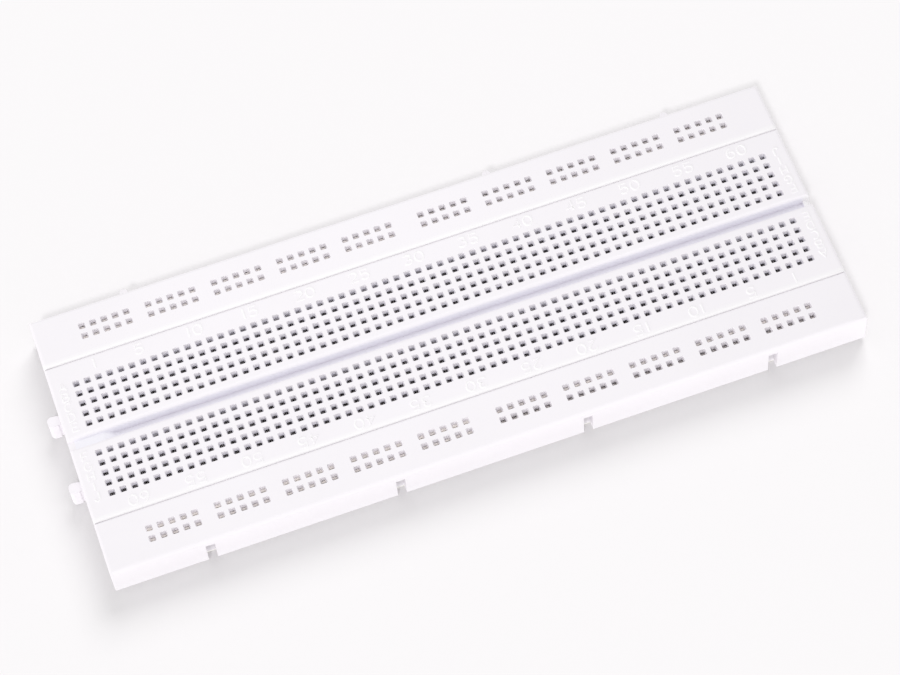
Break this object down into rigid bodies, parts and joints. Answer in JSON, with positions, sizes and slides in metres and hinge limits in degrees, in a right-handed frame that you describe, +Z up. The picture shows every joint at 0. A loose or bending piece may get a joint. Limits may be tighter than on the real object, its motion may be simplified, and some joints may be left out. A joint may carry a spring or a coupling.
{
  "type": "solderless breadboard",
  "caption": "Solderless breadboard: a terminal strip with a centre channel between two bus strips that hook together, with square plug-in holes.",
  "frame": {"origin": "under the centre of the hole grid, on the plane the board stands on", "axes": "+X along the strips towards the end with the T sockets, +Y across them towards rows A to E and the free edge tabs, +Z up out of the holes"},
  "size_m": [0.1744, 0.0664, 0.0095],
  "materials": {
    "housing": "satin white moulded ABS",
    "contacts": "tin-plated spring bronze",
    "foam": "off-white adhesive foam",
    "liner": "waxed release paper"
  },
  "bodies": {
    "front_bus_strip": {"front_bus_housing": "housing", "front_bus_rail_a_left": "contacts", "front_bus_rail_a_right": "contacts", "front_bus_rail_b_left": "contacts", "front_bus_rail_b_right": "contacts", "front_bus_foam_pad": "foam", "front_bus_release_liner": "liner"},
    "terminal_strip": {"terminal_strip_housing": "housing", "clip_bank_ae_1": "contacts", "clip_bank_ae_2": "contacts", "clip_bank_ae_3": "contacts", "clip_bank_ae_4": "contacts", "clip_bank_ae_5": "contacts", "clip_bank_ae_6": "contacts", "clip_bank_ae_7": "contacts", "clip_bank_ae_8": "contacts", "clip_bank_fj_1": "contacts", "clip_bank_fj_2": "contacts", "clip_bank_fj_3": "contacts", "clip_bank_fj_4": "contacts", "clip_bank_fj_5": "contacts", "clip_bank_fj_6": "contacts", "clip_bank_fj_7": "contacts", "clip_bank_fj_8": "contacts", "terminal_foam_pad": "foam", "terminal_release_liner": "liner"},
    "rear_bus_strip": {"rear_bus_housing": "housing", "rear_bus_rail_a_left": "contacts", "rear_bus_rail_a_right": "contacts", "rear_bus_rail_b_left": "contacts", "rear_bus_rail_b_right": "contacts", "rear_bus_foam_pad": "foam", "rear_bus_release_liner": "liner"}
  },
  "joints": [
    {"name": "terminal_lift", "type": "slide", "parent": "front_bus_strip", "child": "terminal_strip", "axis": [0, 0, 1], "range_m": [0, 0.012]},
    {"name": "rear_bus_lift", "type": "slide", "parent": "terminal_strip", "child": "rear_bus_strip", "axis": [0, 0, 1], "range_m": [0, 0.012]}
  ]
}
